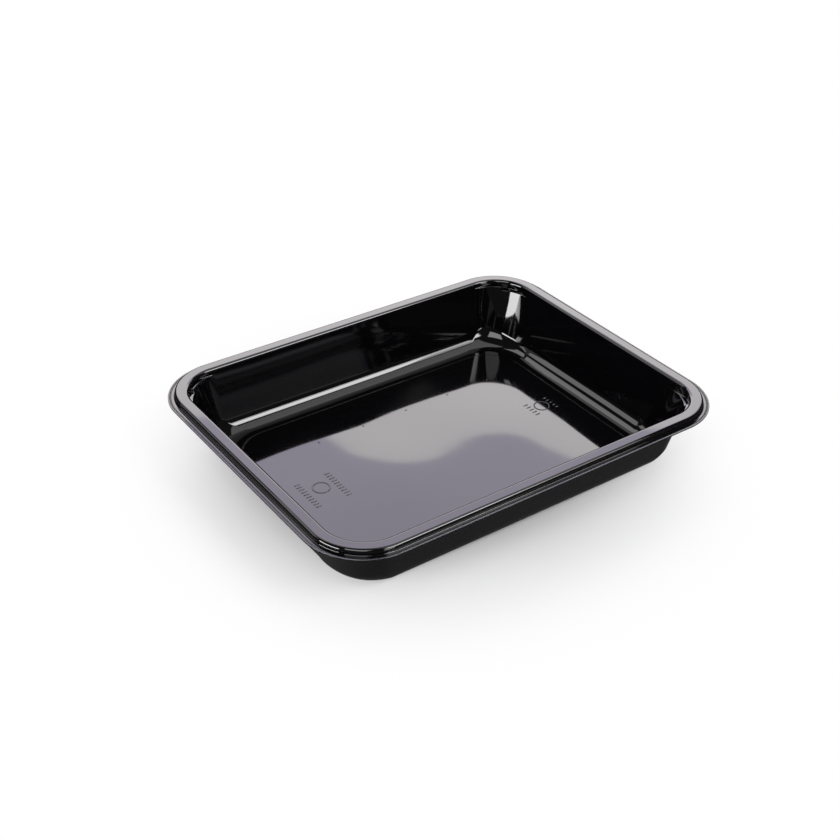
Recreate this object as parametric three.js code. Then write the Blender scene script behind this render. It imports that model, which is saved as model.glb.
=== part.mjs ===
// Ovenable plastic meal tray: one sheet of black plastic, thermoformed into a shallow
// rectangular dish with a flat seal flange, a short skirt and a trimmed lip around it.
// The sheet is drawn as a chain of stations, from the middle of the base out to the lip.
// Each station is a rounded rectangle, and the underside follows it one sheet below.
// The origin is on the resting face, under the middle of the tray, and +Z points up.

import * as THREE from 'three';

// Driving dimensions, in millimetres.
const trayLength = 227; // over the trimmed lip
const trayWidth = 178; // over the trimmed lip
const trayHeight = 34.6; // from the resting face to the seal face
const sheet = 0.6; // thickness of the formed sheet

const lipCornerRadius = 30.2; // outer corner of the trimmed lip
const lipReachEnds = 3.4; // from the skirt to the trimmed edge, at the short ends
const lipReachSides = 2.65; // the same, along the long sides
const lipDrop = 2.8; // from the seal face down to the lip
const lipFillet = 0.5; // inside radius between the skirt and the lip

const flangeWidth = 3.8; // flat seal face
const flangeInnerRadius = 1.7; // from the seal face into the cavity
const flangeOuterRadius = 1.5; // from the seal face down the skirt

const wallDraft = 12.8; // lean of the cavity wall, in degrees
const baseFillet = 9.3; // from the wall to the base
const baseCornerRadius = 22.3; // corner of the base outline, inside the fillet

const shoulderDropEnds = 4.8; // from the seal face to the corner shoulder, beside a short end
const shoulderDropSides = 3; // the same, beside a long side
const shoulderRise = 0.5; // how far the shoulder climbs from its inner to its outer edge
const shoulderPocketRadius = 15.5; // corner of the pocket above the shoulder
const shoulderWallRadius = 21.8; // corner of the wall just below the shoulder
const shoulderTurn = 2.5; // half of the angle over which the two shoulder levels meet, in degrees

const panelInset = 2.7; // from the fillet to the step around the base panel
const panelRise = 0.35; // how far the base panel lies above the margin that the tray rests on
const panelBevel = 0.8; // width of that step

// Fineness of the facets.
const cornerSegments = 14;
const filletSegments = 10;
const smallRadiusSegments = 6;
const lipFilletSegments = 3;
const shoulderSegments = 5;
const bevelSegments = 3;

const radians = THREE.MathUtils.degToRad;
const smooth = (t) => t * t * (3 - 2 * t);
const steps = (count) => Array.from({ length: count + 1 }, (_, i) => i / count);

// Reaches are measured outward from the inner edge of the flat seal face, and levels from it.
const draft = radians(wallDraft);
const reachEnds = flangeWidth + flangeOuterRadius + lipReachEnds;
const reachSides = flangeWidth + flangeOuterRadius + lipReachSides;
const mouthHalfLength = trayLength / 2 - reachEnds;
const mouthHalfWidth = trayWidth / 2 - reachSides;
const mouthCornerRadius = lipCornerRadius - (reachEnds + reachSides) / 2;
const marginLevel = sheet - trayHeight;
const panelLevel = marginLevel + panelRise;

// The cavity wall is a straight line that leans outward, tangent to the radius at its top.
const wallTop = {
  reach: -flangeInnerRadius * Math.cos(draft),
  level: -flangeInnerRadius * (1 - Math.sin(draft)),
};
const wallReach = (level) => wallTop.reach - (wallTop.level - level) * Math.tan(draft);
const wallFootLevel = marginLevel + baseFillet * (1 - Math.sin(draft));
const baseReach = wallReach(wallFootLevel) - baseFillet * Math.cos(draft);

// A station gives the upper face of the sheet at one place of the section. Its normal
// (out, up) points away from the plastic, and the underside lies one sheet behind it.
function station(reach, level, out, up, cornerRadius = mouthCornerRadius + reach) {
  return { reach: [reach, reach], level, back: [-sheet * out, -sheet * up], cornerRadius };
}

// The base panel, up to the step around it.
function panelStations() {
  const start = baseReach - panelInset - panelBevel;
  return steps(bevelSegments).map((t) => {
    const reach = start + panelBevel * t;
    const level = panelLevel - panelRise * smooth(t);
    return station(reach, level, 0, 1, baseCornerRadius + reach - baseReach);
  });
}

// The large fillet from the margin of the base to the foot of the wall.
function filletStations() {
  const sweep = Math.PI / 2 - draft;
  return steps(filletSegments).map((t) => {
    const out = baseFillet * Math.sin(sweep * t);
    const level = marginLevel + baseFillet * (1 - Math.cos(sweep * t));
    const normal = [-Math.sin(sweep * t), Math.cos(sweep * t)];
    return station(baseReach + out, level, ...normal, baseCornerRadius + out);
  });
}

// The shoulder in each corner, on which the next tray of a stack rests. Its level
// changes half way round the corner, and along the straight sides it lies in the wall.
function shoulderStations() {
  const back = [sheet * (1 / Math.cos(draft) - Math.tan(draft)), -sheet];
  return steps(shoulderSegments).map((t) => ({
    climb: shoulderRise * (t - 0.5),
    cornerRadius: THREE.MathUtils.lerp(shoulderWallRadius, shoulderPocketRadius, smooth(t)),
    back,
  }));
}

// The rounded edge between the cavity wall and the seal face.
function flangeInnerStations() {
  const sweep = Math.PI / 2 - draft;
  return steps(smallRadiusSegments).map((t) => {
    const turn = sweep * (1 - t);
    const reach = -flangeInnerRadius * Math.sin(turn);
    const level = -flangeInnerRadius * (1 - Math.cos(turn));
    return station(reach, level, -Math.sin(turn), Math.cos(turn));
  });
}

// The rounded edge between the seal face and the skirt.
function flangeOuterStations() {
  return steps(smallRadiusSegments).map((t) => {
    const turn = (Math.PI / 2) * t;
    const reach = flangeWidth + flangeOuterRadius * Math.sin(turn);
    const level = -flangeOuterRadius * (1 - Math.cos(turn));
    return station(reach, level, Math.sin(turn), Math.cos(turn));
  });
}

// The foot of the skirt and the lip, whose reach differs between the ends and the sides.
function lipStations() {
  const centreReach = flangeWidth + flangeOuterRadius + lipFillet;
  const centreLevel = lipFillet - lipDrop;
  const foot = steps(lipFilletSegments).map((t) => {
    const turn = (Math.PI / 2) * t;
    const reach = centreReach - lipFillet * Math.cos(turn);
    const level = centreLevel - lipFillet * Math.sin(turn);
    return station(reach, level, Math.cos(turn), Math.sin(turn));
  });
  const edge = station(reachEnds, -lipDrop, 0, 1, lipCornerRadius);
  edge.reach = [reachEnds, reachSides];
  return [...foot, edge];
}

// The corner directions, as angles from the short end: even steps, with the middle one
// split in two where the shoulder changes its level.
function cornerDirections() {
  const even = steps(cornerSegments).map((t) => 90 * t);
  const split = [45 - shoulderTurn, 45 + shoulderTurn];
  const rest = even.filter((angle) => Math.abs(angle - 45) > shoulderTurn);
  return [...rest, ...split].sort((a, b) => a - b);
}

// The columns of the mesh, once around the tray: a corner, a direction in it and how far
// the corner's shoulder lies below the seal face there.
function columns() {
  const directions = cornerDirections();
  const corners = [[1, 1], [-1, 1], [-1, -1], [1, -1]];
  return corners.flatMap(([sideX, sideY]) => {
    const list = directions.map((angle) => ({
      corner: [sideX, sideY],
      cos: sideX * Math.cos(radians(angle)),
      sin: sideY * Math.sin(radians(angle)),
      shoulderDrop: angle < 45 ? shoulderDropEnds : shoulderDropSides,
    }));
    return sideX * sideY > 0 ? list : list.reverse();
  });
}

// A point of a rounded rectangle that lies the given reaches outside the seal face's edge.
function outlinePoint(column, reach, level, cornerRadius) {
  const [sideX, sideY] = column.corner;
  return new THREE.Vector3(
    sideX * (mouthHalfLength + reach[0] - cornerRadius) + column.cos * cornerRadius,
    sideY * (mouthHalfWidth + reach[1] - cornerRadius) + column.sin * cornerRadius,
    trayHeight + level,
  );
}

// A shoulder station takes its place in the wall from the level of the shoulder.
function shoulderPlace(stop, column) {
  const level = stop.climb - column.shoulderDrop;
  const reach = wallReach(level);
  return { reach: [reach, reach], level, cornerRadius: stop.cornerRadius };
}

// The upper or lower face of the sheet at one station and one column.
function sheetPoint(stop, column, lower) {
  const { reach, level, cornerRadius } = 'climb' in stop ? shoulderPlace(stop, column) : stop;
  const [out, up] = lower ? stop.back : [0, 0];
  return outlinePoint(column, reach.map((value) => value + out), level + up, cornerRadius + out);
}

// Rings of points, bridged into one closed skin: over the top from the middle to the lip,
// across the trimmed edge, and back underneath to the middle.
function sheetGeometry() {
  const stations = [
    ...panelStations(),
    ...filletStations(),
    ...shoulderStations(),
    ...flangeInnerStations(),
    ...flangeOuterStations(),
    ...lipStations(),
  ];
  const around = columns();
  const upper = stations.map((stop) => around.map((column) => sheetPoint(stop, column, false)));
  const lower = stations.map((stop) => around.map((column) => sheetPoint(stop, column, true)));
  const rings = [...upper, ...lower.reverse()];
  const size = around.length;
  const points = rings.flat();
  const middleTop = points.push(new THREE.Vector3(0, 0, trayHeight + panelLevel)) - 1;
  const middleBottom = points.push(new THREE.Vector3(0, 0, trayHeight + panelLevel - sheet)) - 1;

  const faces = [];
  for (let j = 0; j < size; j += 1) {
    const next = (j + 1) % size;
    for (let k = 0; k < rings.length - 1; k += 1) {
      const [a, b] = [k * size + j, (k + 1) * size + j];
      const [c, d] = [(k + 1) * size + next, k * size + next];
      faces.push(a, b, c, a, c, d);
    }
    const last = (rings.length - 1) * size;
    faces.push(middleTop, j, next, middleBottom, last + next, last + j);
  }

  const geometry = new THREE.BufferGeometry().setFromPoints(points);
  geometry.setIndex(faces);
  geometry.computeVertexNormals();
  return geometry;
}

// Glossy black crystallised polyester, with the soft shine of a formed sheet.
const blackPlastic = new THREE.MeshStandardMaterial({
  name: 'black_plastic',
  color: 0x0b0b0c,
  roughness: 0.16,
  metalness: 0,
});

const tray = new THREE.Mesh(sheetGeometry(), blackPlastic);
tray.name = 'tray';

const mealTray = new THREE.Group();
mealTray.name = 'meal_tray';
mealTray.add(tray);

export default mealTray;
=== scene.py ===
"""Studio scene of a glossy black ovenable meal tray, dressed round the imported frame.

The tray is one thermoformed sheet: a dish with a flat seal flange, a short skirt and a
trimmed lip. Lengths are in metres, the origin is under the middle of the resting face.
"""

import logging
import math
from dataclasses import dataclass, field
from enum import Enum
from typing import Any, Callable, NamedTuple

import bpy
from mathutils import Matrix, Vector


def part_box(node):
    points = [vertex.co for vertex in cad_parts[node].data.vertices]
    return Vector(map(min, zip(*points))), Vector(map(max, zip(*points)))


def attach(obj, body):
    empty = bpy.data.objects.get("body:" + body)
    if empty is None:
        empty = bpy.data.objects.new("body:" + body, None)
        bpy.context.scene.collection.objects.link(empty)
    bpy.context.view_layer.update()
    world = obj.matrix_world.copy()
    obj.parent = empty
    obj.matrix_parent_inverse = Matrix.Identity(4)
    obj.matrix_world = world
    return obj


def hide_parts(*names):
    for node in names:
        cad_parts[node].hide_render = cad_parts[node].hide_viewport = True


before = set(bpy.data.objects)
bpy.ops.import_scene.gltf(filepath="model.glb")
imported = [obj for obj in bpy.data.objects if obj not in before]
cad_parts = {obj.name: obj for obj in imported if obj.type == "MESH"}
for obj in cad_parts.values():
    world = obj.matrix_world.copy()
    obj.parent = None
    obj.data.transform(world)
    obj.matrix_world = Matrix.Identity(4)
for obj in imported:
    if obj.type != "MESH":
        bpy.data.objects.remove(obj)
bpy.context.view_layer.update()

log = logging.getLogger("meal_tray")

Colour = tuple[float, float, float]
Place = tuple[float, float, float]

MM = 0.001
BODY = "root"


def smooth(share: float) -> float:
    """Return the share of the way eased at both ends."""
    return share * share * (3.0 - 2.0 * share)


def shares(count: int) -> list[float]:
    """Return count + 1 even shares from 0 to 1."""
    return [step / count for step in range(count + 1)]


@dataclass(frozen=True)
class TraySizes:
    """The sizes of the formed sheet. The overall box comes from the frame."""

    length: float
    width: float
    height: float
    sheet: float = 0.6 * MM
    lip_corner_radius: float = 30.2 * MM
    lip_reach_ends: float = 3.4 * MM
    lip_reach_sides: float = 2.65 * MM
    lip_drop: float = 2.8 * MM
    lip_fillet: float = 0.5 * MM
    flange_width: float = 3.8 * MM
    flange_inner_radius: float = 1.7 * MM
    flange_outer_radius: float = 1.5 * MM
    wall_draft: float = math.radians(12.8)
    base_fillet: float = 9.3 * MM
    base_corner_radius: float = 22.3 * MM
    shoulder_drop_ends: float = 4.8 * MM
    shoulder_drop_sides: float = 3.0 * MM
    shoulder_rise: float = 0.5 * MM
    shoulder_pocket_radius: float = 15.5 * MM
    shoulder_wall_radius: float = 21.8 * MM
    shoulder_turn: float = math.radians(1.6)
    wall_foot_radius_ends: float = 29.5 * MM
    wall_foot_radius_sides: float = 16.8 * MM
    panel_inset: float = 2.7 * MM
    panel_rise: float = 0.35 * MM
    panel_bevel: float = 0.8 * MM
    trim_round: float = 0.12 * MM

    @classmethod
    def from_frame(cls) -> "TraySizes":
        """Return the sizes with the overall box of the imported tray."""
        low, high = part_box("tray")
        return cls(length=high.x - low.x, width=high.y - low.y, height=high.z - low.z)

    @property
    def skirt_reach(self) -> float:
        """Reach of the skirt's outer face."""
        return self.flange_width + self.flange_outer_radius

    @property
    def reach_ends(self) -> float:
        """Reach of the trimmed edge at the short ends."""
        return self.skirt_reach + self.lip_reach_ends

    @property
    def reach_sides(self) -> float:
        """Reach of the trimmed edge along the long sides."""
        return self.skirt_reach + self.lip_reach_sides

    @property
    def mouth_half_length(self) -> float:
        """Half length of the flat seal face's inner edge."""
        return self.length / 2 - self.reach_ends

    @property
    def mouth_half_width(self) -> float:
        """Half width of the flat seal face's inner edge."""
        return self.width / 2 - self.reach_sides

    @property
    def mouth_corner_radius(self) -> float:
        """Corner radius of the flat seal face's inner edge."""
        return self.lip_corner_radius - (self.reach_ends + self.reach_sides) / 2

    @property
    def margin_level(self) -> float:
        """Level of the base's margin, seen from the seal face."""
        return self.sheet - self.height

    @property
    def wall_top(self) -> tuple[float, float]:
        """Reach and level of the wall's upper end."""
        radius = self.flange_inner_radius
        return -radius * math.cos(self.wall_draft), -radius * (1 - math.sin(self.wall_draft))

    @property
    def foot_rise(self) -> float:
        """Height of the large fillet along the straight sides."""
        return self.base_fillet * (1 - math.sin(self.wall_draft))

    @property
    def base_reach(self) -> float:
        """Reach of the flat base's edge, inside the large fillet."""
        foot = self.margin_level + self.foot_rise
        return self.wall_reach(foot) - self.base_fillet * math.cos(self.wall_draft)

    @property
    def radius_growth(self) -> tuple[float, float]:
        """Growth of the wall's corner radius for each metre upward, along X and along Y."""
        drop = (self.shoulder_drop_ends + self.shoulder_drop_sides) / 2
        rise = -drop - self.margin_level - self.foot_rise
        along_x = (self.shoulder_wall_radius - self.wall_foot_radius_sides) / rise
        along_y = (self.shoulder_wall_radius - self.wall_foot_radius_ends) / rise
        return along_x, along_y

    def wall_reach(self, level: float) -> float:
        """Return the reach of the cavity wall at a level.

        Args:
            level: height seen from the seal face, below zero in the cavity.

        Returns:
            The reach, outward from the seal face's inner edge.
        """
        reach, top = self.wall_top
        return reach - (top - level) * math.tan(self.wall_draft)


class Station(NamedTuple):
    """One place of the section: reach at the ends and sides, level and corner radius.

    Where the shoulder's share isn't zero, the place lies in the cavity wall, its level is
    lowered by that share of the shoulder's depth, and the reaches count from the wall.
    In the corners, where the large fillet is larger, lift and follow say by how much of
    the fillet's height the place goes up and follows the wall. The stretch is what the
    corner radius along Y has more than the one along X.
    """

    reach_ends: float
    reach_sides: float
    level: float
    corner_radius: float
    shoulder_share: float = 0.0
    lift: float = 0.0
    follow: float = 0.0
    stretch: float = 0.0


class Column(NamedTuple):
    """One direction round the tray: its corner, its place on it and the shoulder's depth."""

    side_x: float
    side_y: float
    cos: float
    sin: float
    along_x: float
    along_y: float
    shoulder_drop: float
    foot_gain: float


@dataclass
class Outline:
    """The rounded rectangles of the tray, and the directions in which they are sampled.

    Where the shoulder changes its level, the directions lie closer together, and the even
    ones keep clear of them. The hold is the length of the narrow strip that keeps the
    straight sides flat beside a corner.
    """

    sizes: TraySizes
    corner_steps: int = 44
    change_steps: int = 8
    change_clear: float = 1.2
    hold: float = 0.6 * MM

    @property
    def middle(self) -> float:
        """Angle of the middle of a corner."""
        return math.pi / 4

    def turns(self) -> list[float]:
        """Return the angles of one corner, closer together where the shoulder steps.

        Returns:
            The angles, seen from the short end.
        """
        even = [math.pi / 2 * share for share in shares(self.corner_steps)]
        turn = self.sizes.shoulder_turn
        near = [self.middle + turn * (2 * share - 1) for share in shares(self.change_steps)]
        far = [angle for angle in even if abs(angle - self.middle) > turn * self.change_clear]
        return sorted(far + near)

    def shoulder_drop(self, angle: float) -> float:
        """Return how far the corner shoulder lies below the seal face at an angle.

        Args:
            angle: the direction in the corner.

        Returns:
            The depth of the shoulder.
        """
        sizes = self.sizes
        turn = sizes.shoulder_turn
        share = min(max((angle - self.middle + turn) / (2 * turn), 0.0), 1.0)
        gap = sizes.shoulder_drop_sides - sizes.shoulder_drop_ends
        return sizes.shoulder_drop_ends + gap * smooth(share)

    def foot_gain(self, angle: float) -> float:
        """Return by what share the large fillet is higher at an angle than along the sides.

        Args:
            angle: the direction in the corner.

        Returns:
            The share, zero along the straight sides.
        """
        sizes = self.sizes
        slope = math.tan(sizes.wall_draft)
        reach = sizes.base_fillet * math.cos(sizes.wall_draft)
        radii = (sizes.wall_foot_radius_sides, sizes.wall_foot_radius_ends)
        directions = (math.cos(angle), math.sin(angle))
        extent = lean = 0.0
        for share, radius, growth in zip(directions, radii, sizes.radius_growth):
            change = radius - sizes.base_corner_radius
            extent += (reach - change) * share + change * share * share
            lean += (slope - growth) * share + growth * share * share
        return (extent / reach * slope / lean - 1) / (1 - sizes.foot_rise * slope / reach)

    def columns(self) -> list[Column]:
        """Return the directions, once round the tray from the right corner.

        Returns:
            The columns of the skin, in order.
        """
        found: list[Column] = []
        for side_x, side_y in ((1, 1), (-1, 1), (-1, -1), (1, -1)):
            corner = []
            for angle in self.turns():
                cos, sin = side_x * math.cos(angle), side_y * math.sin(angle)
                drop, gain = self.shoulder_drop(angle), self.foot_gain(angle)
                corner.append(Column(side_x, side_y, cos, sin, 0.0, 0.0, drop, gain))
            first, last = corner[0], corner[-1]
            corner.insert(0, first._replace(along_y=-side_y * self.hold))
            corner.append(last._replace(along_x=-side_x * self.hold))
            found += corner if side_x * side_y > 0 else corner[::-1]
        return found

    def point(self, stop: Station, column: Column) -> Place:
        """Return a point of the tray.

        Args:
            stop: the place in the section.
            column: the direction round the tray.

        Returns:
            The point in the tray's frame.
        """
        sizes = self.sizes
        sunk = stop.shoulder_share * column.shoulder_drop
        level = stop.level - sunk + stop.lift * column.foot_gain
        follow = stop.follow * column.foot_gain
        growth_x, growth_y = sizes.radius_growth
        radius_x = stop.corner_radius + follow * growth_x
        radius_y = stop.corner_radius + stop.stretch + follow * growth_y
        in_wall = stop.shoulder_share != 0.0
        shift = sizes.wall_reach(level) if in_wall else follow * math.tan(sizes.wall_draft)
        ends, sides = stop.reach_ends + shift, stop.reach_sides + shift
        x = sizes.mouth_half_length + ends - radius_x
        y = sizes.mouth_half_width + sides - radius_y
        return (
            column.side_x * x + column.cos * radius_x + column.along_x,
            column.side_y * y + column.sin * radius_y + column.along_y,
            sizes.height + level,
        )


@dataclass
class SheetSection:
    """The section of the sheet, from the middle of the base out to the trimmed edge.

    The hold is the width of the narrow strips that keep a flat face flat beside a rounded
    edge. The trim places round off the trimmed edge: how far inward and how far down each
    one lies, counted in the size of the rounding.
    """

    sizes: TraySizes
    fillet_steps: int = 22
    edge_steps: int = 12
    foot_steps: int = 8
    shoulder_steps: int = 10
    wall_steps: int = 7
    bevel_steps: int = 5
    hold: float = 0.12 * MM
    trim_places: tuple[tuple[float, float], ...] = ((2, 0), (1, 0), (0.3, 0.3), (0, 1))

    def even(self, reach: float, level: float, radius: float | None = None) -> Station:
        """Return a station with one reach all round, concentric with the mouth by default."""
        corner = self.sizes.mouth_corner_radius + reach if radius is None else radius
        return Station(reach, reach, level, corner)

    def panel(self, back: float) -> list[Station]:
        """Return the base panel's edge, one sheet lower where back is the sheet.

        Args:
            back: zero for the upper face, the sheet's thickness for the underside.

        Returns:
            The stations in order outward.
        """
        sizes = self.sizes
        start = sizes.base_reach - sizes.panel_inset - sizes.panel_bevel
        stops = [self.based(start - self.hold, sizes.panel_rise - back)]
        for share in shares(self.bevel_steps):
            rise = sizes.panel_rise * (1 - smooth(share)) - back
            stops.append(self.based(start + sizes.panel_bevel * share, rise))
        stops.append(self.based(start + sizes.panel_bevel + self.hold, -back))
        return stops

    def based(self, reach: float, rise: float, growth: float = 0.0) -> Station:
        """Return a station whose corner follows the base's outline.

        Args:
            reach: outward from the seal face's inner edge.
            rise: height above the base's margin.
            growth: what the corner radius has more.

        Returns:
            The station.
        """
        sizes = self.sizes
        corner = sizes.base_corner_radius + reach - sizes.base_reach + growth
        return self.even(reach, sizes.margin_level + rise, corner)

    def fillet(self, back: float) -> list[Station]:
        """Return the large fillet from the base to the wall.

        Args:
            back: zero for the upper face, the sheet's thickness for the underside.

        Returns:
            The stations in order outward.
        """
        sizes = self.sizes
        radius = sizes.base_fillet + back
        sweep = math.pi / 2 - sizes.wall_draft
        stops = [self.based(sizes.base_reach - self.hold, -back)]
        for share in shares(self.fillet_steps):
            turn = sweep * share
            follow = math.sin(turn) / math.cos(sizes.wall_draft)
            rise = (1 - math.cos(turn)) / (1 - math.sin(sizes.wall_draft))
            change = sizes.wall_foot_radius_sides - sizes.base_corner_radius
            stretch = (sizes.wall_foot_radius_ends - sizes.wall_foot_radius_sides) * follow
            reach = sizes.base_reach + radius * math.sin(turn)
            level = sizes.margin_level + radius * (1 - math.cos(turn)) - back
            corner = sizes.base_corner_radius + change * follow + back * math.sin(turn)
            stops.append(Station(reach, reach, level, corner, lift=rise * sizes.foot_rise,
                                 follow=follow * sizes.foot_rise, stretch=stretch))
        return stops

    def shoulder(self, back: float) -> list[Station]:
        """Return the corner shoulder, which lies in the wall along the straight sides.

        Args:
            back: zero for the upper face, the sheet's thickness for the underside.

        Returns:
            The stations in order outward.
        """
        sizes = self.sizes
        slip = back / math.cos(sizes.wall_draft)
        stops = []
        for share in shares(self.shoulder_steps):
            climb = sizes.shoulder_rise * (share - 0.5)
            change = sizes.shoulder_pocket_radius - sizes.shoulder_wall_radius
            corner = sizes.shoulder_wall_radius + change * smooth(share)
            stops.append(Station(slip, slip, climb - back, corner + slip, shoulder_share=1.0))
        return stops

    def between(self, plain: Station, shouldered: Station, back: float) -> list[Station]:
        """Return the wall between a plain station and the shoulder, from the plain one on.

        Args:
            plain: the station at the wall's foot or head.
            shouldered: the nearest station of the shoulder.
            back: zero for the upper face, the sheet's thickness for the underside.

        Returns:
            Even steps along the wall, with one more close to each of its ends.
        """
        slip = back / math.cos(self.sizes.wall_draft)
        climb = shouldered.level - plain.level
        change = shouldered.corner_radius - plain.corner_radius
        even = [(step + 0.5) / self.wall_steps for step in range(self.wall_steps)]
        close = self.hold / abs(climb - self.sizes.shoulder_drop_ends)
        stops = []
        for share in (close, *even, 1 - close):
            lift, stretch = plain.lift * (1 - share), plain.stretch * (1 - share)
            stops.append(Station(slip, slip, plain.level + climb * share,
                                 plain.corner_radius + change * share,
                                 shoulder_share=share, lift=lift, follow=lift, stretch=stretch))
        return stops

    def wall(self, back: float) -> list[Station]:
        """Return the cavity wall, from the large fillet over the corner shoulder to its head.

        Args:
            back: zero for the upper face, the sheet's thickness for the underside.

        Returns:
            The stations in order outward.
        """
        shoulder, head = self.shoulder(back), self.wall_head(back)
        below = self.between(self.fillet(back)[-1], shoulder[0], back)
        above = self.between(head[0], shoulder[-1], back)[::-1]
        return below + shoulder + above + head

    def wall_head(self, back: float) -> list[Station]:
        """Return the wall's highest stretch, just under the rounded edge.

        Args:
            back: zero for the upper face, the sheet's thickness for the underside.

        Returns:
            The one station.
        """
        draft = self.sizes.wall_draft
        first = self.inner_edge(back)[0]
        reach = first.reach_ends - self.hold * math.tan(draft)
        return [self.even(reach, first.level - self.hold)]

    def inner_edge(self, back: float) -> list[Station]:
        """Return the rounded edge between the cavity wall and the seal face.

        Args:
            back: zero for the upper face, the sheet's thickness for the underside.

        Returns:
            The stations in order outward.
        """
        sizes = self.sizes
        radius = sizes.flange_inner_radius - back
        sweep = math.pi / 2 - sizes.wall_draft
        stops = []
        for share in shares(self.edge_steps):
            turn = sweep * (1 - share)
            level = radius * math.cos(turn) - sizes.flange_inner_radius
            stops.append(self.even(-radius * math.sin(turn), level))
        return stops

    def seal_face(self, back: float) -> list[Station]:
        """Return the flat face between the two rounded edges."""
        hold = self.hold
        return [self.even(hold, -back), self.even(self.sizes.flange_width - hold, -back)]

    def outer_edge(self, back: float) -> list[Station]:
        """Return the rounded edge between the seal face and the skirt.

        Args:
            back: zero for the upper face, the sheet's thickness for the underside.

        Returns:
            The stations in order outward.
        """
        sizes = self.sizes
        radius = sizes.flange_outer_radius - back
        stops = []
        for share in shares(self.edge_steps):
            turn = math.pi / 2 * share
            level = radius * math.cos(turn) - sizes.flange_outer_radius
            stops.append(self.even(sizes.flange_width + radius * math.sin(turn), level))
        return stops

    def skirt_foot(self, back: float) -> list[Station]:
        """Return the foot of the skirt, where it turns outward into the lip.

        Args:
            back: zero for the upper face, the sheet's thickness for the underside.

        Returns:
            The stations in order outward.
        """
        sizes = self.sizes
        radius = sizes.lip_fillet + back
        centre = sizes.skirt_reach + sizes.lip_fillet
        stops = []
        for share in shares(self.foot_steps):
            turn = math.pi / 2 * share
            level = sizes.lip_fillet - sizes.lip_drop - radius * math.sin(turn)
            stops.append(self.even(centre - radius * math.cos(turn), level))
        stops.append(self.even(centre + self.hold, -sizes.lip_drop - back))
        return stops

    def trim(self) -> list[Station]:
        """Return the trimmed edge of the lip, lightly rounded above and below.

        Returns:
            The stations from the upper face to the underside.
        """
        sizes = self.sizes
        rounding = sizes.trim_round
        top = [(inset * rounding, sizes.lip_drop + drop * rounding)
               for inset, drop in self.trim_places]
        low = [(inset, 2 * sizes.lip_drop + sizes.sheet - depth) for inset, depth in reversed(top)]
        stops = []
        for inset, depth in top + low:
            corner = sizes.lip_corner_radius - inset
            ends, sides = sizes.reach_ends - inset, sizes.reach_sides - inset
            stops.append(Station(ends, sides, -depth, corner))
        return stops

    def face(self, back: float) -> list[Station]:
        """Return one face of the sheet, from the base panel to the lip.

        Args:
            back: zero for the upper face, the sheet's thickness for the underside.

        Returns:
            The stations in order outward.
        """
        runs: list[Callable[[float], list[Station]]] = [
            self.panel, self.fillet, self.wall, self.inner_edge, self.seal_face,
            self.outer_edge, self.skirt_foot,
        ]
        return [stop for run in runs for stop in run(back)]

    def stations(self) -> list[Station]:
        """Return the whole section: the upper face, the trimmed edge, the underside."""
        return self.face(0.0) + self.trim() + self.face(self.sizes.sheet)[::-1]


@dataclass
class TrayShell:
    """The formed sheet itself, as one closed skin."""

    sizes: TraySizes
    outline: Outline
    section: SheetSection

    def build(self, material: bpy.types.Material) -> bpy.types.Object:
        """Return the shell as an object with smooth faces.

        Args:
            material: the finish of the whole skin.

        Returns:
            The object, linked to the scene.
        """
        columns = self.outline.columns()
        stations = self.section.stations()
        points = [self.outline.point(stop, column) for stop in stations for column in columns]
        size = len(columns)
        last = len(points) - size
        top_middle, low_middle = len(points), len(points) + 1
        panel_rise = self.sizes.panel_rise
        points += [(0, 0, self.sizes.sheet + panel_rise), (0, 0, panel_rise)]
        faces: list[tuple[int, ...]] = []
        for here in range(size):
            after = (here + 1) % size
            for row in range(0, last, size):
                above = row + size
                faces.append((row + here, above + here, above + after, row + after))
            faces.append((top_middle, here, after))
            faces.append((low_middle, last + after, last + here))
        mesh = bpy.data.meshes.new("tray_shell")
        mesh.from_pydata(points, [], faces)
        mesh.shade_smooth()
        mesh.materials.append(material)
        return add_object("tray_shell", mesh)


def add_object(name: str, data: bpy.types.ID | None) -> bpy.types.Object:
    """Return a new object of that data, linked to the scene.

    Args:
        name: the object's name.
        data: its mesh, curve, light or camera.

    Returns:
        The object.
    """
    item = bpy.data.objects.new(name, data)
    bpy.context.scene.collection.objects.link(item)
    return item


class ReliefForm(Enum):
    """What is repeated along a path. The value says how often its round form is divided."""

    RIB = 1
    PIP = 2


@dataclass(frozen=True)
class Repeat:
    """One kind of relief and how it is spaced along its path."""

    form: ReliefForm
    pitch: float
    across: float
    along: float
    height: float


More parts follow.
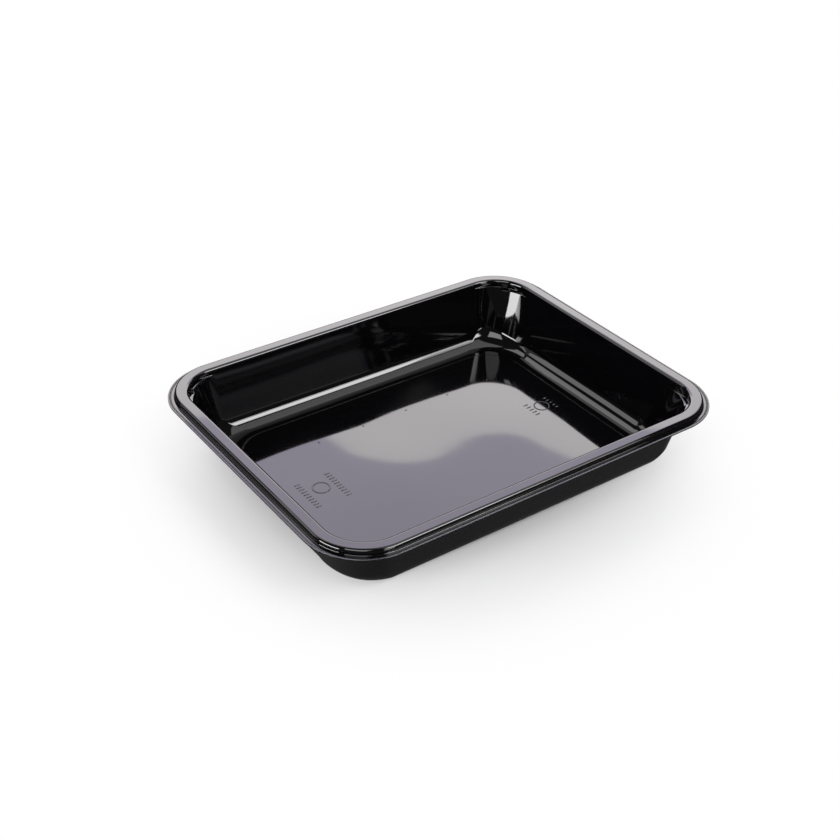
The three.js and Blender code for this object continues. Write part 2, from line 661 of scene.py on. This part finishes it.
@dataclass
class PathRelief:
    """Small relief that repeats along paths on the tray, made by Geometry Nodes."""

    name: str
    repeat: Repeat
    paths: list[list[Place]]
    closed: bool = True
    inputs: dict[str, str] = field(default_factory=dict)

    def path_object(self) -> bpy.types.Object:
        """Return a curve object that holds every path as a poly spline.

        Returns:
            The curve object.
        """
        curve = bpy.data.curves.new(self.name, "CURVE")
        curve.dimensions = "3D"
        for path in self.paths:
            spline = curve.splines.new("POLY")
            spline.points.add(len(path) - 1)
            spline.points.foreach_set("co", [value for point in path for value in (*point, 1.0)])
            spline.use_cyclic_u = self.closed
        return add_object(self.name, curve)

    def tree(self, material: bpy.types.Material) -> bpy.types.NodeTree:
        """Return the node tree that spaces the relief along the paths.

        Args:
            material: the finish of the relief.

        Returns:
            The tree, for a modifier.
        """
        group = bpy.data.node_groups.new(self.name, "GeometryNodeTree")
        group.interface.new_socket("Geometry", in_out="INPUT", socket_type="NodeSocketGeometry")
        for label in ("Pitch", "Across", "Along", "Height"):
            socket = group.interface.new_socket(
                label, in_out="INPUT", socket_type="NodeSocketFloat")
            self.inputs[label] = socket.identifier
        group.interface.new_socket("Geometry", in_out="OUTPUT", socket_type="NodeSocketGeometry")
        nodes = TreeWriter(group)
        given = nodes.add("NodeGroupInput")
        spaced = nodes.add("GeometryNodeResampleCurve", {"mode": "LENGTH"}, {
            "Curve": given.outputs["Geometry"], "Length": given.outputs["Pitch"]})
        tangent = nodes.add("GeometryNodeInputTangent")
        turn = nodes.add("FunctionNodeAlignRotationToVector", {"axis": "X"}, {
            "Vector": tangent.outputs["Tangent"]})
        size = nodes.add("ShaderNodeCombineXYZ", {}, {
            "X": given.outputs["Along"],
            "Y": given.outputs["Across"],
            "Z": given.outputs["Height"],
        })
        form = nodes.add("GeometryNodeMeshIcoSphere", {}, {
            "Radius": 0.5, "Subdivisions": self.repeat.form.value})
        placed = nodes.add("GeometryNodeInstanceOnPoints", {}, {
            "Points": spaced.outputs["Curve"], "Instance": form.outputs[0],
            "Rotation": turn.outputs["Rotation"], "Scale": size.outputs["Vector"]})
        solid = nodes.add("GeometryNodeRealizeInstances", {}, {
            "Geometry": placed.outputs["Instances"]})
        dressed = nodes.add("GeometryNodeSetMaterial", {}, {
            "Geometry": solid.outputs["Geometry"], "Material": material})
        nodes.add("NodeGroupOutput", {}, {"Geometry": dressed.outputs["Geometry"]})
        return group

    def build(self, material: bpy.types.Material) -> bpy.types.Object:
        """Return the relief as one plain mesh object.

        Args:
            material: the finish of the relief.

        Returns:
            The object, linked to the scene.
        """
        source = self.path_object()
        modifier = source.modifiers.new("relief", "NODES")
        modifier.node_group = self.tree(material)
        values = {"Pitch": self.repeat.pitch, "Across": self.repeat.across,
                  "Along": self.repeat.along, "Height": self.repeat.height}
        for label, value in values.items():
            modifier[self.inputs[label]] = value
        depsgraph = bpy.context.evaluated_depsgraph_get()
        mesh = bpy.data.meshes.new_from_object(source.evaluated_get(depsgraph))
        mesh.shade_smooth()
        bpy.data.objects.remove(source)
        mesh.name = self.name
        return add_object(self.name, mesh)


class Value:
    """A shader socket with the arithmetic that the finishes use."""

    def __init__(self, writer: "TreeWriter", socket: bpy.types.NodeSocket) -> None:
        """Keep the tree and the socket."""
        self.writer = writer
        self.socket = socket

    def math(self, operation: str, *others: "Value | float") -> "Value":
        """Return the result of one Math node.

        Args:
            operation: the node's operation.
            others: what comes after this value.

        Returns:
            The result.
        """
        node = self.writer.add("ShaderNodeMath", {"operation": operation}, {})
        for slot, item in enumerate((self, *others)):
            self.writer.feed(node.inputs[slot], item)
        return Value(self.writer, node.outputs[0])

    def __add__(self, other: "Value | float") -> "Value":
        """Return the sum."""
        return self.math("ADD", other)

    def __mul__(self, other: "Value | float") -> "Value":
        """Return the product."""
        return self.math("MULTIPLY", other)

    def __sub__(self, other: "Value | float") -> "Value":
        """Return the difference."""
        return self.math("SUBTRACT", other)

    def __rsub__(self, other: float) -> "Value":
        """Return a number less this value."""
        return (self * -1.0) + other

    __radd__ = __add__
    __rmul__ = __mul__


class TreeWriter:
    """Adds nodes to a tree and feeds their sockets."""

    def __init__(self, tree: bpy.types.NodeTree) -> None:
        """Keep the tree."""
        self.tree = tree

    def add(self, kind: str, settings: dict[str, Any] | None = None,
            feeds: dict[str | int, Any] | None = None) -> bpy.types.Node:
        """Add one node.

        Args:
            kind: the node's type.
            settings: attributes of the node, set first.
            feeds: values or links by socket name or number.

        Returns:
            The new node.
        """
        node = self.tree.nodes.new(kind)
        for name, setting in (settings or {}).items():
            setattr(node, name, setting)
        for name, item in (feeds or {}).items():
            self.feed(node.inputs[name], item)
        return node

    def feed(self, socket: bpy.types.NodeSocket, item: Any) -> None:
        """Link or set one socket.

        Args:
            socket: the input.
            item: a value, an output or a plain setting.
        """
        if isinstance(item, Value):
            self.tree.links.new(item.socket, socket)
        elif isinstance(item, bpy.types.NodeSocket):
            self.tree.links.new(item, socket)
        else:
            socket.default_value = item

    def value(self, kind: str, output: str, settings: dict[str, Any] | None = None,
              feeds: dict[str | int, Any] | None = None) -> Value:
        """Return one output of a new node as a value."""
        return Value(self, self.add(kind, settings, feeds).outputs[output])

    def blend(self, factor: Value, first: Colour, second: Colour) -> bpy.types.NodeSocket:
        """Return the blend of two colours, the first where the factor is 0.

        Args:
            factor: from 0 to 1.
            first: the colour at 0.
            second: the colour at 1.

        Returns:
            The output that holds the colour.
        """
        node = self.add("ShaderNodeMix", {"data_type": "RGBA"}, {"Factor": factor})
        colour_inputs = [socket for socket in node.inputs if socket.type == "RGBA"]
        for socket, colour in zip(colour_inputs, (first, second)):
            self.feed(socket, (*colour, 1.0))
        return next(socket for socket in node.outputs if socket.type == "RGBA")


def shader_tree(material: bpy.types.Material) -> TreeWriter:
    """Return the writer of a material's emptied tree.

    Args:
        material: a new material.

    Returns:
        The writer.
    """
    material.use_nodes = True
    material.node_tree.nodes.clear()
    return TreeWriter(material.node_tree)


@dataclass(frozen=True)
class BlackPlastic:
    """Glossy formed black plastic: fine grain, slow waves of the sheet, faint scuffs.

    The sag is a regular swell of the sheet. Its turn is the direction in which it runs,
    and its start shifts it sideways, both as angles.
    """

    name: str = "black_plastic"
    colour: Colour = (0.0012, 0.0010, 0.0014)
    worn_colour: Colour = (0.0022, 0.0019, 0.0025)
    roughness: float = 0.05
    roughness_spread: float = 0.03
    scuff_scale: float = 240.0
    scuff_detail: float = 4.0
    grain_scale: float = 1500.0
    grain_detail: float = 2.0
    grain_height: float = 0.0006 * MM
    wave_scale: float = 17.0
    wave_detail: float = 1.0
    wave_height: float = 0.2 * MM
    sag_length: float = 104.0 * MM
    sag_height: float = 0.19 * MM
    sag_turn: float = math.radians(53.84)
    sag_start: float = -0.277
    refraction: float = 1.7

    def noise(self, tree: TreeWriter, place: Value, scale: float, detail: float) -> Value:
        """Return noise in the tray's own coordinates.

        Args:
            tree: the material's tree.
            place: the coordinates.
            scale: the noise's scale.
            detail: how many finer layers the noise has.

        Returns:
            The noise, from 0 to 1.
        """
        return tree.value("ShaderNodeTexNoise", "Fac", {}, {
            "Vector": place, "Scale": scale, "Detail": detail})

    def sag(self, tree: TreeWriter, place: Value) -> Value:
        """Return the slow sag that a formed sheet keeps when it cools.

        Args:
            tree: the material's tree.
            place: the coordinates.

        Returns:
            The height, above or below zero.
        """
        parts = tree.add("ShaderNodeSeparateXYZ", {}, {"Vector": place})
        x, y = Value(tree, parts.outputs["X"]), Value(tree, parts.outputs["Y"])
        cos, sin = math.cos(self.sag_turn), math.sin(self.sag_turn)
        waves = 2 * math.pi / self.sag_length
        across = (x * sin - y * cos) * waves + self.sag_start
        along = (x * cos + y * sin) * waves
        return across.math("SINE") * along.math("SINE") * self.sag_height

    def build(self) -> bpy.types.Material:
        """Return the material.

        Returns:
            The material, with one shader.
        """
        material = bpy.data.materials.new(self.name)
        tree = shader_tree(material)
        place = tree.value("ShaderNodeTexCoord", "Object")
        grain = self.noise(tree, place, self.grain_scale, self.grain_detail)
        wave = self.noise(tree, place, self.wave_scale, self.wave_detail)
        scuff = self.noise(tree, place, self.scuff_scale, self.scuff_detail)
        height = wave * self.wave_height + grain * self.grain_height + self.sag(tree, place)
        bump = tree.add("ShaderNodeBump", {}, {"Strength": 1.0, "Distance": 1.0, "Height": height})
        smoothest = self.roughness - self.roughness_spread / 2
        plastic = tree.add("ShaderNodeBsdfPrincipled", {}, {
            "Base Color": tree.blend(scuff, self.colour, self.worn_colour),
            "Roughness": scuff * self.roughness_spread + smoothest,
            "IOR": self.refraction,
            "Normal": bump.outputs["Normal"],
        })
        tree.add("ShaderNodeOutputMaterial", {}, {"Surface": plastic.outputs["BSDF"]})
        return material


@dataclass(frozen=True)
class MarkPlace:
    """Where a group of plain relief stands on the base: two rows of bars beside a ring."""

    row_x: tuple[float, float]
    row_y: float
    row_half: float
    ring_x: float
    ring_y: float
    ring_radius: float


@dataclass
class BaseMarks:
    """Plain relief on the base: vent pips, and rows of short bars beside a ring.

    The vent place is the number of the large fillet's station that carries the vents.
    """

    sizes: TraySizes
    outline: Outline
    vent: Repeat = Repeat(
        ReliefForm.PIP, pitch=7.6 * MM, across=0.5 * MM, along=0.5 * MM, height=0.3 * MM)
    vent_place: int = 5
    pip: Repeat = Repeat(
        ReliefForm.PIP, pitch=21.4 * MM, across=1.1 * MM, along=1.1 * MM, height=0.4 * MM)
    pip_row_x: tuple[float, float] = (-47.0 * MM, 60.0 * MM)
    pip_row_y: float = 37.0 * MM
    bar: Repeat = Repeat(
        ReliefForm.PIP, pitch=2.2 * MM, across=3.4 * MM, along=0.8 * MM, height=0.5 * MM)
    ring: Repeat = Repeat(
        ReliefForm.PIP, pitch=0.44 * MM, across=0.8 * MM, along=1.3 * MM, height=0.42 * MM)
    ring_steps: int = 60
    near: MarkPlace = MarkPlace(
        row_x=(-75.0 * MM, -58.0 * MM), row_y=2.0 * MM, row_half=10.0 * MM,
        ring_x=-66.2 * MM, ring_y=4.0 * MM, ring_radius=4.2 * MM,
    )
    far: MarkPlace = MarkPlace(
        row_x=(61.5 * MM, 75.0 * MM), row_y=0.5 * MM, row_half=5.0 * MM,
        ring_x=68.3 * MM, ring_y=0.5 * MM, ring_radius=4.0 * MM,
    )

    @property
    def top(self) -> float:
        """Level of the base panel's upper face."""
        return self.sizes.sheet + self.sizes.panel_rise

    def vents(self) -> PathRelief:
        """Return the vent pips round the foot of the large fillet.

        Returns:
            The relief.
        """
        stop = SheetSection(self.sizes).fillet(0.0)[self.vent_place]
        path = [self.outline.point(stop, column) for column in self.outline.columns()]
        return PathRelief("vent_pips", self.vent, [path])

    def pips(self) -> PathRelief:
        """Return the row of larger pips along the base panel."""
        path = [(x, self.pip_row_y, self.top) for x in self.pip_row_x]
        return PathRelief("base_pips", self.pip, [path], closed=False)

    def bars(self) -> PathRelief:
        """Return the rows of short bars.

        Returns:
            The relief.
        """
        paths = []
        for place in (self.near, self.far):
            ends = (place.row_y - place.row_half, place.row_y + place.row_half)
            paths += [[(x, y, self.top) for y in ends] for x in place.row_x]
        return PathRelief("mark_bars", self.bar, paths, closed=False)

    def rings(self) -> PathRelief:
        """Return the rings, as closely set pips that run into each other.

        Returns:
            The relief.
        """
        turns = [2 * math.pi * step / self.ring_steps for step in range(self.ring_steps)]
        paths = []
        for place in (self.near, self.far):
            radius = place.ring_radius
            paths.append([(place.ring_x + radius * math.cos(turn),
                           place.ring_y + radius * math.sin(turn), self.top) for turn in turns])
        return PathRelief("mark_rings", self.ring, paths)


@dataclass
class LipKnurl:
    """The fine ribs across the lip, which grip it for trimming and opening."""

    sizes: TraySizes
    outline: Outline
    inset: float = 1.1 * MM
    rib: Repeat = Repeat(
        ReliefForm.RIB, pitch=0.56 * MM, across=1.5 * MM, along=0.4 * MM, height=0.22 * MM)

    def relief(self) -> PathRelief:
        """Return the ribs along the middle of the lip.

        Returns:
            The relief.
        """
        sizes = self.sizes
        stop = Station(sizes.reach_ends - self.inset, sizes.reach_sides - self.inset,
                       -sizes.lip_drop, sizes.lip_corner_radius - self.inset)
        path = [self.outline.point(stop, column) for column in self.outline.columns()]
        return PathRelief("lip_knurl", self.rib, [path])


@dataclass(frozen=True)
class Lamp:
    """A soft rectangular lamp that faces the tray, placed and sized by angles seen from it.

    All angles are in degrees. The azimuth counts from the tray's +X towards +Y. The lamp
    has its radiance along its lower edge, and that times the fade along its upper edge.
    """

    name: str
    azimuth: float
    elevation: float
    wide: float
    high: float
    radiance: float
    fade: float = 1.0
    roll: float = 0.0
    colour: Colour = (1.0, 1.0, 1.0)
    distance: float = 3.0

    def span(self, angle: float) -> float:
        """Return the size that fills an angle, in degrees, seen from the tray."""
        return 2 * self.distance * math.tan(math.radians(angle) / 2)

    def shade(self, light: bpy.types.AreaLight) -> None:
        """Give the lamp its fading brightness.

        Args:
            light: the lamp's data.
        """
        light.use_nodes = True
        light.node_tree.nodes.clear()
        tree = TreeWriter(light.node_tree)
        place = tree.add("ShaderNodeNewGeometry").outputs["Parametric"]
        upward = tree.value("ShaderNodeSeparateXYZ", "Y", {}, {"Vector": place})
        strength = (1.0 - upward) * (1.0 - self.fade) + self.fade
        glow = tree.add("ShaderNodeEmission", {}, {"Strength": strength})
        tree.add("ShaderNodeOutputLight", {}, {"Surface": glow.outputs["Emission"]})

    def build(self) -> bpy.types.Object:
        """Return the lamp, aimed at the tray.

        Returns:
            The lamp, hidden from the camera.
        """
        light = bpy.data.lights.new(self.name, "AREA")
        light.shape = "RECTANGLE"
        light.size, light.size_y = self.span(self.wide), self.span(self.high)
        light.energy = math.pi * light.size * light.size_y * self.radiance
        light.color = self.colour
        if self.fade != 1.0:
            self.shade(light)
        item = add_object(self.name, light)
        azimuth, elevation = math.radians(self.azimuth), math.radians(self.elevation)
        toward = Vector((math.cos(azimuth) * math.cos(elevation),
                         math.sin(azimuth) * math.cos(elevation), math.sin(elevation)))
        item.location = toward * self.distance
        turn = toward.to_track_quat("Z", "Y").to_matrix().to_4x4()
        item.rotation_euler = (turn @ Matrix.Rotation(math.radians(self.roll), 4, "Z")).to_euler()
        item.visible_camera = False
        return item


@dataclass(frozen=True)
class View:
    """The camera of the photograph: where it stands and how it is turned.

    The yaw counts from +X towards +Y, and the pitch is how far the camera looks down.
    """

    place: Place = (-332.73 * MM, -439.80 * MM, 384.34 * MM)
    yaw: float = math.radians(53.84)
    pitch: float = math.radians(33.645)
    roll: float = math.radians(1.253)
    focal_pixels: float = 1337.0
    image_pixels: float = 840.0
    sensor: float = 36.0

    def build(self) -> bpy.types.Object:
        """Return the camera and make it the scene's.

        Returns:
            The camera.
        """
        cos, sin = math.cos(self.pitch), math.sin(self.pitch)
        forward = Vector((math.cos(self.yaw) * cos, math.sin(self.yaw) * cos, -sin))
        level = Vector((math.sin(self.yaw), -math.cos(self.yaw), 0.0))
        upright = level.cross(forward)
        right = math.cos(self.roll) * level + math.sin(self.roll) * upright
        up = math.cos(self.roll) * upright - math.sin(self.roll) * level
        data = bpy.data.cameras.new("view")
        data.sensor_width = self.sensor
        data.lens = self.focal_pixels / self.image_pixels * self.sensor
        camera = add_object("view", data)
        turn = Matrix((right, up, -forward)).transposed().to_4x4()
        camera.matrix_world = Matrix.Translation(self.place) @ turn
        bpy.context.scene.camera = camera
        return camera


@dataclass
class Studio:
    """The pale floor, the soft lamps and the surroundings.

    The shade ends are the distances from the middle of the tray between which the floor's
    shading fades into the white of the backdrop. The gloss mirrors a dark room, which is
    a little lighter where it lies well below the horizon.
    """

    floor_half: float = 12.0
    floor_colour: Colour = (0.82, 0.82, 0.82)
    shade_ends: tuple[float, float] = (0.05, 0.17)
    backdrop: float = 1.0
    room: float = 0.05
    room_below: float = 0.1
    room_blend: float = 0.2
    lamps: tuple[Lamp, ...] = (
        Lamp("back_softbox", azimuth=53.8, elevation=33.0, wide=60.0, high=27.0,
             radiance=2.65, colour=(0.88, 0.823, 1.0)),
        Lamp("warm_panel", azimuth=53.8, elevation=27.4, wide=50.0, high=14.8,
             radiance=1.5, colour=(1.0, 1.0, 0.75)),
        Lamp("high_panel", azimuth=84.0, elevation=54.0, wide=24.0, high=14.0, radiance=1.75),
        Lamp("left_softbox", azimuth=130.0, elevation=33.0, wide=22.0, high=20.0, radiance=1.6),
        Lamp("ceiling_panel", azimuth=4.0, elevation=66.0, wide=44.0, high=28.0, radiance=0.9),
        Lamp("right_window", azimuth=-62.0, elevation=43.5, wide=34.0, high=20.5,
             radiance=5.8, fade=0.35, roll=-6.0),
        Lamp("window_core", azimuth=-62.0, elevation=47.1, wide=27.0, high=15.7,
             radiance=5.8, roll=-6.0),
        Lamp("left_window", azimuth=176.0, elevation=12.0, wide=34.0, high=20.0, radiance=10.0),
        Lamp("front_softbox", azimuth=-142.0, elevation=54.0, wide=30.0, high=32.0, radiance=2.8),
        Lamp("low_strip", azimuth=-84.0, elevation=9.5, wide=18.0, high=9.0, radiance=7.0),
    )

    def seen(self, tree: TreeWriter) -> Value:
        """Return 1 for a ray that shows the background, and 0 for one that only lights.

        Args:
            tree: the tree that asks.

        Returns:
            The switch.
        """
        rays = tree.add("ShaderNodeLightPath")
        camera = Value(tree, rays.outputs["Is Camera Ray"])
        return camera.math("MAXIMUM", Value(tree, rays.outputs["Is Transmission Ray"]))

    def floor(self) -> bpy.types.Object:
        """Return the floor, which shows the tray's shadow and turns white further out.

        Returns:
            The floor.
        """
        half = self.floor_half
        mesh = bpy.data.meshes.new("studio_floor")
        corners = [(-half, -half, 0), (half, -half, 0), (half, half, 0), (-half, half, 0)]
        mesh.from_pydata(corners, [], [(0, 1, 2, 3)])
        material = bpy.data.materials.new("pale_floor")
        tree = shader_tree(material)
        paint = tree.add("ShaderNodeBsdfDiffuse", {}, {"Color": (*self.floor_colour, 1.0)})
        white = tree.add("ShaderNodeEmission", {}, {"Strength": self.backdrop})
        place = tree.add("ShaderNodeTexCoord").outputs["Object"]
        away = tree.value("ShaderNodeVectorMath", "Value", {"operation": "LENGTH"}, {0: place})
        near, far = self.shade_ends
        fade = tree.value("ShaderNodeMapRange", "Result", {"interpolation_type": "SMOOTHSTEP"}, {
            "Value": away, "From Min": near, "From Max": far})
        mixed = tree.add("ShaderNodeMixShader", {}, {
            0: fade * self.seen(tree), 1: paint.outputs["BSDF"], 2: white.outputs["Emission"]})
        tree.add("ShaderNodeOutputMaterial", {}, {"Surface": mixed.outputs["Shader"]})
        mesh.materials.append(material)
        floor = add_object("studio_floor", mesh)
        floor.visible_glossy = False
        return floor

    def world(self) -> None:
        """Set the surroundings: white to look at, and a dark room for the gloss to mirror."""
        world = bpy.data.worlds.new("studio")
        world.use_nodes = True
        world.node_tree.nodes.clear()
        tree = TreeWriter(world.node_tree)
        toward = tree.add("ShaderNodeTexCoord").outputs["Generated"]
        height = tree.value("ShaderNodeSeparateXYZ", "Z", {}, {"Vector": toward})
        room = tree.value("ShaderNodeMapRange", "Result", {"interpolation_type": "SMOOTHSTEP"}, {
            "Value": height, "From Min": -self.room_blend, "From Max": 0.0,
            "To Min": self.room_below, "To Max": self.room})
        strength = room + self.seen(tree) * (self.backdrop - room)
        sky = tree.add("ShaderNodeBackground", {}, {
            "Color": (1.0, 1.0, 1.0, 1.0), "Strength": strength})
        tree.add("ShaderNodeOutputWorld", {}, {"Surface": sky.outputs["Background"]})
        bpy.context.scene.world = world

    def build(self) -> None:
        """Set up the floor, the surroundings and the lamps."""
        self.floor()
        self.world()
        for lamp in self.lamps:
            lamp.build()


def dress(piece: bpy.types.Object) -> None:
    """Fix a piece to the tray's body, and report it.

    Args:
        piece: the object.
    """
    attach(piece, BODY)
    log.info("%s: %d faces", piece.name, len(piece.data.polygons))


def main() -> None:
    """Build the tray and its studio."""
    logging.basicConfig(level=logging.INFO)
    bpy.context.scene.view_settings.view_transform = "Standard"
    View().build()
    Studio().build()

    sizes = TraySizes.from_frame()
    outline = Outline(sizes)
    plastic = BlackPlastic().build()
    shell = TrayShell(sizes, outline, SheetSection(sizes)).build(plastic)
    dress(shell)
    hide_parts("tray")
    dress(LipKnurl(sizes, outline).relief().build(plastic))
    marks = BaseMarks(sizes, outline)
    for relief in (marks.vents(), marks.pips(), marks.bars(), marks.rings()):
        dress(relief.build(plastic))


if __name__ == "__main__":
    main()
